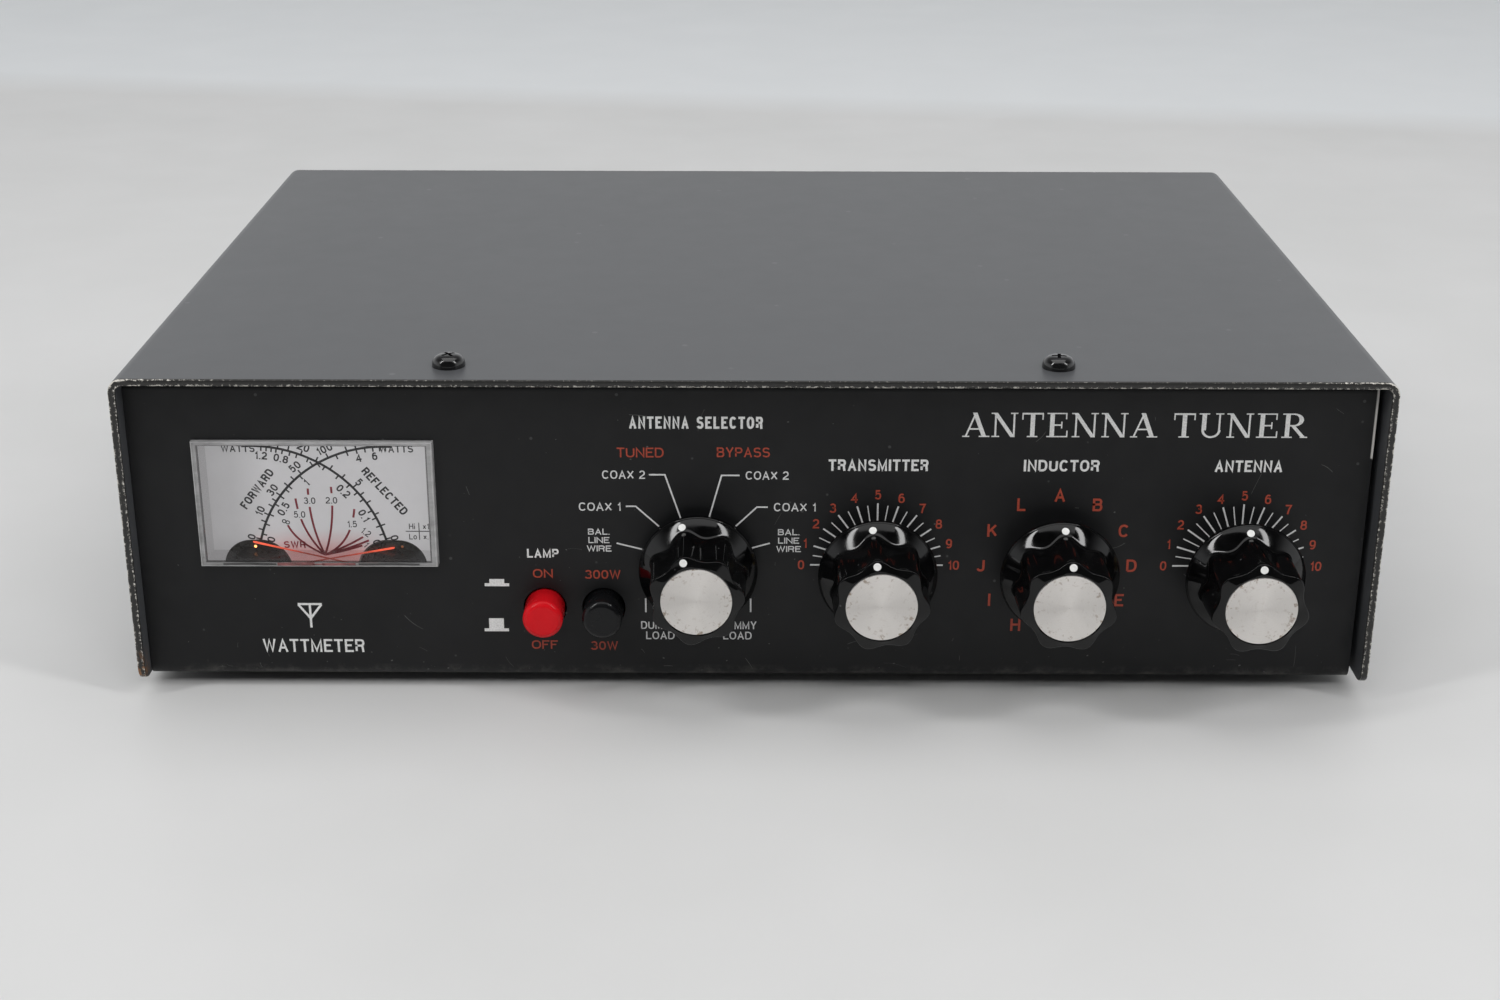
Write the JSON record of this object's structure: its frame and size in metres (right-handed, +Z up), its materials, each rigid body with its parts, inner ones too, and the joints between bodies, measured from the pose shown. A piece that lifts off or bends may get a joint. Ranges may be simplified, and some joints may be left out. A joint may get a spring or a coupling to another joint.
{
  "type": "antenna tuner",
  "caption": "Bench antenna tuner: sheet-metal case, cross-needle meter, two push switches, four skirted knobs on rotary switches and air capacitors, coaxial and wire connectors behind.",
  "frame": {"origin": "middle of the footprint on the surface that the rubber feet stand on", "axes": "+X to the right seen from the front, +Y from the front panel to the rear panel, +Z up"},
  "size_m": [0.2718, 0.226, 0.0755],
  "materials": {
    "panel_paint": "satin",
    "cover_paint": "satin",
    "black_screw": "gloss",
    "foot_rubber": "matte",
    "window_clear": "gloss",
    "meter_body": "satin",
    "dial_print": "matte",
    "movement_metal": "matte",
    "lamp_glass": "gloss",
    "needle_paint": "satin",
    "red_button": "gloss",
    "black_button": "gloss",
    "white_plastic": "satin",
    "switch_case": "satin",
    "brown_board": "satin",
    "zinc_plate": "satin",
    "phenolic": "satin",
    "contact_silver": "satin",
    "shaft_steel": "satin",
    "rotor_plastic": "satin",
    "knob_black": "gloss",
    "spun_aluminium": "satin",
    "frame_aluminium": "satin",
    "vane_aluminium": "satin",
    "white_ceramic": "satin",
    "bushing_brass": "satin",
    "fibre_shaft": "satin",
    "nut_nickel": "satin",
    "bare_copper": "satin",
    "clear_acrylic": "gloss",
    "ferrite": "matte",
    "enamel_wire": "gloss",
    "green_board": "satin",
    "board_parts": "satin",
    "socket_nickel": "satin",
    "socket_insulator": "satin",
    "contact_brass": "satin",
    "jack_plastic": "satin",
    "wire_insulation": "satin"
  },
  "bodies": {
    "case": {"chassis": "panel_paint", "cover": "cover_paint", "cover_screws": "black_screw", "rubber_feet": "foot_rubber", "meter_window": "window_clear", "meter_case": "meter_body", "meter_dial": "dial_print", "meter_movements": "movement_metal", "meter_lamp": "lamp_glass", "push_switch_bodies": "switch_case", "push_switch_board": "brown_board", "spacers": "zinc_plate", "switch_frames": "zinc_plate", "switch_wafers": "phenolic", "switch_contacts": "contact_silver", "capacitor_frames": "frame_aluminium", "capacitor_stators": "vane_aluminium", "capacitor_insulators": "white_ceramic", "panel_bushings": "bushing_brass", "hex_nuts": "nut_nickel", "machine_screws": "nut_nickel", "coil_winding": "bare_copper", "coil_ribs": "clear_acrylic", "balun_core": "ferrite", "balun_winding": "enamel_wire", "coupler_board": "green_board", "coupler_parts": "board_parts", "coax_sockets": "socket_nickel", "coax_insulators": "socket_insulator", "coax_contacts": "contact_brass", "terminal_insulators": "white_ceramic", "terminal_studs": "nut_nickel", "dc_jack": "jack_plastic", "hookup_wires": "wire_insulation"},
    "selector": {"selector_shaft": "shaft_steel", "selector_rotors": "rotor_plastic", "selector_knob": "knob_black", "selector_inlay": "spun_aluminium"},
    "inductor": {"inductor_shaft": "shaft_steel", "inductor_rotors": "rotor_plastic", "inductor_knob": "knob_black", "inductor_inlay": "spun_aluminium"},
    "transmitter": {"transmitter_rotor": "vane_aluminium", "transmitter_shaft": "fibre_shaft", "transmitter_knob": "knob_black", "transmitter_inlay": "spun_aluminium"},
    "antenna": {"antenna_rotor": "vane_aluminium", "antenna_shaft": "fibre_shaft", "antenna_knob": "knob_black", "antenna_inlay": "spun_aluminium"},
    "lamp_switch": {"lamp_button": "red_button", "lamp_plunger": "white_plastic"},
    "range_switch": {"range_button": "black_button", "range_plunger": "white_plastic"},
    "forward_movement": {"needle_forward": "needle_paint"},
    "reflected_movement": {"needle_reflected": "needle_paint"},
    "wire_nut": {"wing_nut_wire": "nut_nickel"},
    "line_nut_a": {"wing_nut_line_a": "nut_nickel"},
    "line_nut_b": {"wing_nut_line_b": "nut_nickel"},
    "ground_nut": {"wing_nut_ground": "nut_nickel"}
  },
  "joints": [
    {"name": "selector_turn", "type": "hinge", "parent": "case", "child": "selector", "pos_m": [-0.0117, -0.09, 0.0298], "axis": [0, -1, 0], "range_deg": [-120, 90]},
    {"name": "inductor_turn", "type": "hinge", "parent": "case", "child": "inductor", "pos_m": [0.0651, -0.09, 0.0298], "axis": [0, -1, 0], "range_deg": [-330, 0]},
    {"name": "transmitter_turn", "type": "hinge", "parent": "case", "child": "transmitter", "pos_m": [0.0265, -0.09, 0.0298], "axis": [0, -1, 0], "range_deg": [-97, 83]},
    {"name": "antenna_turn", "type": "hinge", "parent": "case", "child": "antenna", "pos_m": [0.1043, -0.09, 0.0298], "axis": [0, -1, 0], "range_deg": [-91, 89]},
    {"name": "lamp_press", "type": "slide", "parent": "case", "child": "lamp_switch", "axis": [0, 1, 0], "range_m": [0, 0.003], "stiffness_N_per_m": 500, "springref_m": -0.001},
    {"name": "range_press", "type": "slide", "parent": "case", "child": "range_switch", "axis": [0, 1, 0], "range_m": [0, 0.003], "stiffness_N_per_m": 500, "springref_m": -0.001},
    {"name": "forward_swing", "type": "hinge", "parent": "case", "child": "forward_movement", "pos_m": [-0.07895, -0.0858, 0.02625], "axis": [0, -1, 0], "range_deg": [-75, 0], "stiffness_Nm_per_rad": 0.00002},
    {"name": "reflected_swing", "type": "hinge", "parent": "case", "child": "reflected_movement", "pos_m": [-0.10705, -0.0852, 0.02625], "axis": [0, -1, 0], "range_deg": [0, 75], "stiffness_Nm_per_rad": 0.00002},
    {"name": "wire_nut_turn", "type": "hinge", "parent": "case", "child": "wire_nut", "pos_m": [0.035, 0.1035, 0.038], "axis": [0, 1, 0], "continuous": true},
    {"name": "line_nut_a_turn", "type": "hinge", "parent": "case", "child": "line_nut_a", "pos_m": [0.06, 0.1035, 0.038], "axis": [0, 1, 0], "continuous": true},
    {"name": "line_nut_b_turn", "type": "hinge", "parent": "case", "child": "line_nut_b", "pos_m": [0.085, 0.1035, 0.038], "axis": [0, 1, 0], "continuous": true},
    {"name": "ground_nut_turn", "type": "hinge", "parent": "case", "child": "ground_nut", "pos_m": [0.112, 0.0935, 0.038], "axis": [0, 1, 0], "continuous": true}
  ]
}
